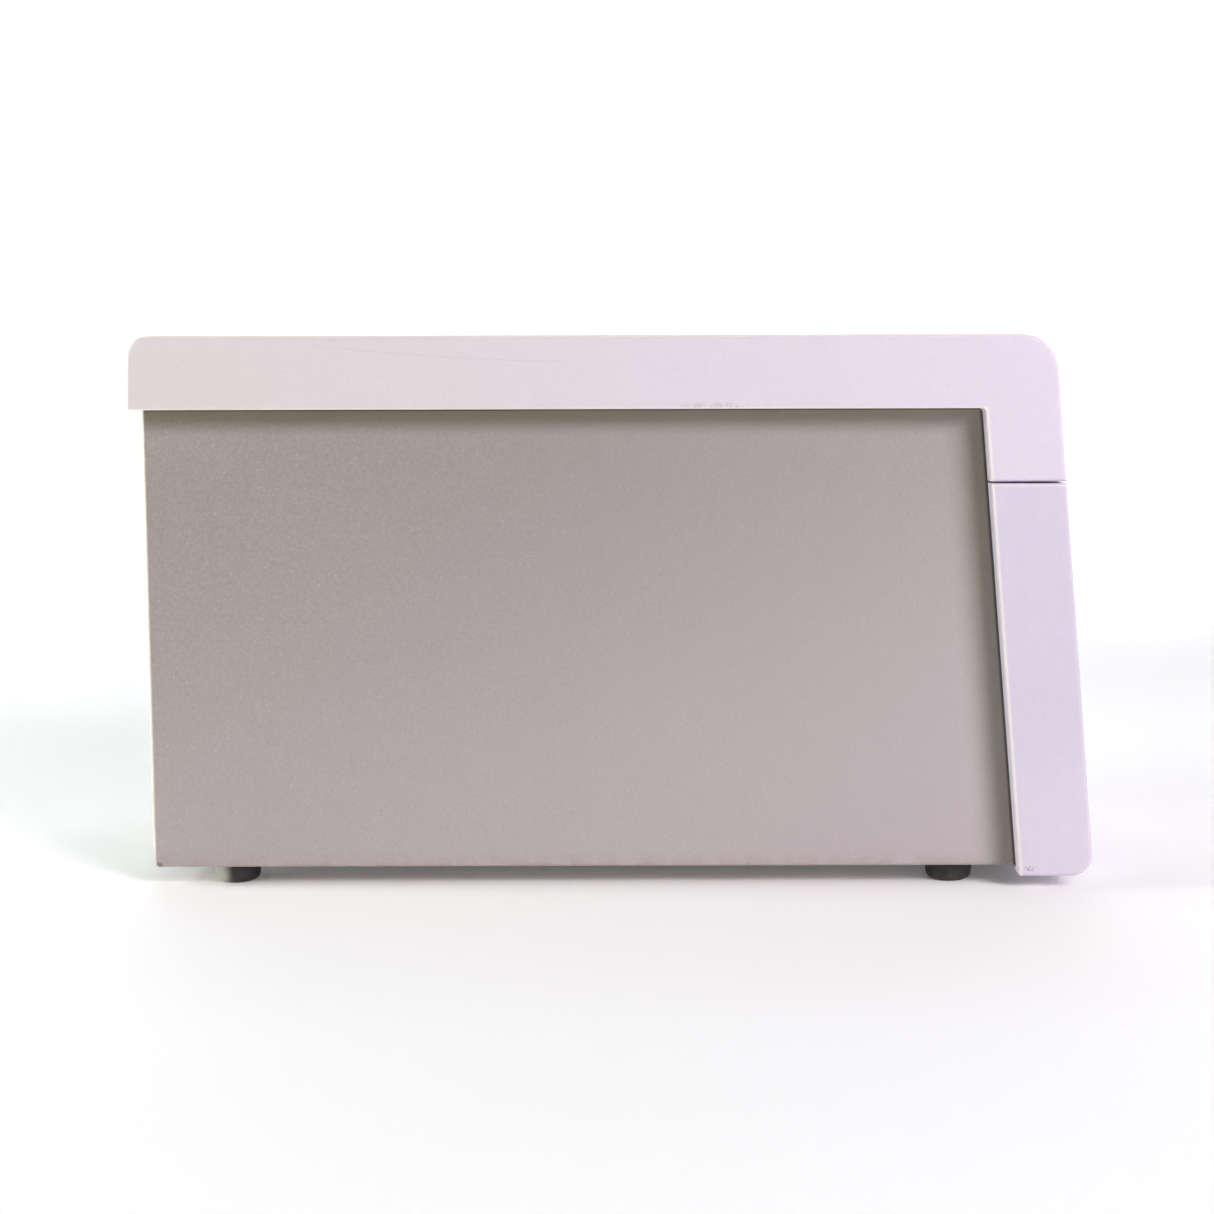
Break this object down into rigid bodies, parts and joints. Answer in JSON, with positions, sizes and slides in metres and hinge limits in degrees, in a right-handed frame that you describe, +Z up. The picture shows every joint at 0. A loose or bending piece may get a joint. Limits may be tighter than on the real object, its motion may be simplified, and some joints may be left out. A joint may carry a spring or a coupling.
{
  "type": "desktop computer tower",
  "caption": "Low desktop computer case with a moulded lift-off hood, leaning front bezel with drives and controls, powder-coated steel sides and rubber feet.",
  "frame": {"origin": "on the floor, under the middle of the bounding box", "axes": "+X to the front bezel, +Z up, Y across the case, with the side in the picture facing -Y"},
  "size_m": [0.45, 0.21, 0.26],
  "materials": {
    "shell_plastic": "fine moulded texture",
    "powder_coat": "orange-peel powder coat",
    "drive_plastic": "fine moulded texture",
    "button_plastic": "polished",
    "light_plastic": "clear, tinted",
    "case_steel": "zinc plated",
    "supply_steel": "plain sheet",
    "screw_steel": "plated",
    "foot_rubber": "matt",
    "stud_plastic": "moulded",
    "black_plastic": "moulded",
    "tray_plastic": "moulded",
    "board_laminate": "coated laminate",
    "component_plastic": "moulded",
    "port_metal": "pressed",
    "disk_casting": "cast and brushed",
    "heatsink_aluminium": "extruded",
    "processor_lid": "plated",
    "cable_sleeve": "braided",
    "ribbon_plastic": "ribbed"
  },
  "bodies": {
    "case": {"front_bezel": "shell_plastic", "side_panel_left": "powder_coat", "side_panel_right": "powder_coat", "optical_drive_face": "drive_plastic", "floppy_drive_face": "drive_plastic", "status_lights": "light_plastic", "base_plate": "case_steel", "rear_plate": "case_steel", "front_plate": "case_steel", "supply_shelf": "case_steel", "drive_cage": "case_steel", "optical_drive_case": "case_steel", "floppy_drive_case": "case_steel", "card_bracket": "case_steel", "io_shield": "case_steel", "psu_case": "supply_steel", "foot_screws": "screw_steel", "case_screws": "screw_steel", "psu_guard": "screw_steel", "board_standoffs": "screw_steel", "foot_rear_left": "foot_rubber", "foot_rear_right": "foot_rubber", "foot_front_left": "foot_rubber", "foot_front_right": "foot_rubber", "hood_grommets": "foot_rubber", "cpu_fan_frame": "black_plastic", "rear_fan_frame": "black_plastic", "psu_fan_frame": "black_plastic", "psu_inlet": "black_plastic", "psu_switch_frame": "black_plastic", "board_slots": "black_plastic", "optical_drive_deck": "tray_plastic", "motherboard": "board_laminate", "switch_board": "board_laminate", "memory_modules": "board_laminate", "expansion_card": "board_laminate", "board_parts": "component_plastic", "cpu_socket": "component_plastic", "rear_ports": "port_metal", "front_ports": "port_metal", "hard_disk": "disk_casting", "heatsink": "heatsink_aluminium", "processor": "processor_lid", "power_cable": "cable_sleeve", "drive_cables": "ribbon_plastic"},
    "lid": {"hood": "shell_plastic", "hood_catch_studs": "stud_plastic"},
    "power_key": {"power_button": "button_plastic"},
    "reset_key": {"reset_button": "button_plastic"},
    "flap": {"port_flap": "drive_plastic"},
    "tray": {"disc_tray": "tray_plastic", "disc_tray_front": "drive_plastic"},
    "eject_key": {"eject_button": "drive_plastic"},
    "floppy_key": {"floppy_eject_button": "drive_plastic"},
    "shutter": {"floppy_shutter": "black_plastic"},
    "rear_rotor": {"rear_fan_rotor": "black_plastic"},
    "cpu_rotor": {"cpu_fan_rotor": "black_plastic"},
    "psu_rotor": {"psu_fan_rotor": "black_plastic"},
    "mains_key": {"psu_rocker": "black_plastic"}
  },
  "joints": [
    {"name": "hood_lift", "type": "slide", "parent": "case", "child": "lid", "axis": [0, 0, 1], "range_m": [0, 0.09]},
    {"name": "power_press", "type": "slide", "parent": "case", "child": "power_key", "axis": [-0.9958, 0, -0.0915], "range_m": [0, 0.0025], "stiffness_N_per_m": 200, "springref_m": -0.001},
    {"name": "reset_press", "type": "slide", "parent": "case", "child": "reset_key", "axis": [-0.9958, 0, -0.0915], "range_m": [0, 0.0015], "stiffness_N_per_m": 200, "springref_m": -0.001},
    {"name": "flap_hinge", "type": "hinge", "parent": "case", "child": "flap", "pos_m": [0.21761, -0.052, 0.08283], "axis": [0, 1, 0], "range_deg": [0, 95]},
    {"name": "tray_slide", "type": "slide", "parent": "case", "child": "tray", "axis": [1, 0, 0], "range_m": [0, 0.135]},
    {"name": "eject_press", "type": "slide", "parent": "case", "child": "eject_key", "axis": [-1, 0, 0], "range_m": [0, 0.001], "stiffness_N_per_m": 200, "springref_m": -0.001},
    {"name": "floppy_eject_press", "type": "slide", "parent": "case", "child": "floppy_key", "axis": [-1, 0, 0], "range_m": [0, 0.004], "stiffness_N_per_m": 200, "springref_m": -0.001},
    {"name": "shutter_hinge", "type": "hinge", "parent": "case", "child": "shutter", "pos_m": [0.20635, 0, 0.1283], "axis": [0, 1, 0], "range_deg": [0, 75], "stiffness_Nm_per_rad": 0.0004, "springref_deg": -11.46},
    {"name": "rear_fan_spin", "type": "hinge", "parent": "case", "child": "rear_rotor", "pos_m": [-0.2053, 0.014, 0.1049], "axis": [-1, 0, 0], "continuous": true},
    {"name": "cpu_fan_spin", "type": "hinge", "parent": "case", "child": "cpu_rotor", "pos_m": [-0.1242, 0.012, 0.059], "axis": [0, 0, -1], "continuous": true},
    {"name": "psu_fan_spin", "type": "hinge", "parent": "case", "child": "psu_rotor", "pos_m": [-0.2045, -0.026, 0.201], "axis": [-1, 0, 0], "continuous": true},
    {"name": "mains_switch", "type": "hinge", "parent": "case", "child": "mains_key", "pos_m": [-0.2163, 0.046, 0.217], "axis": [0, 0, 1], "range_deg": [0, 14]}
  ]
}
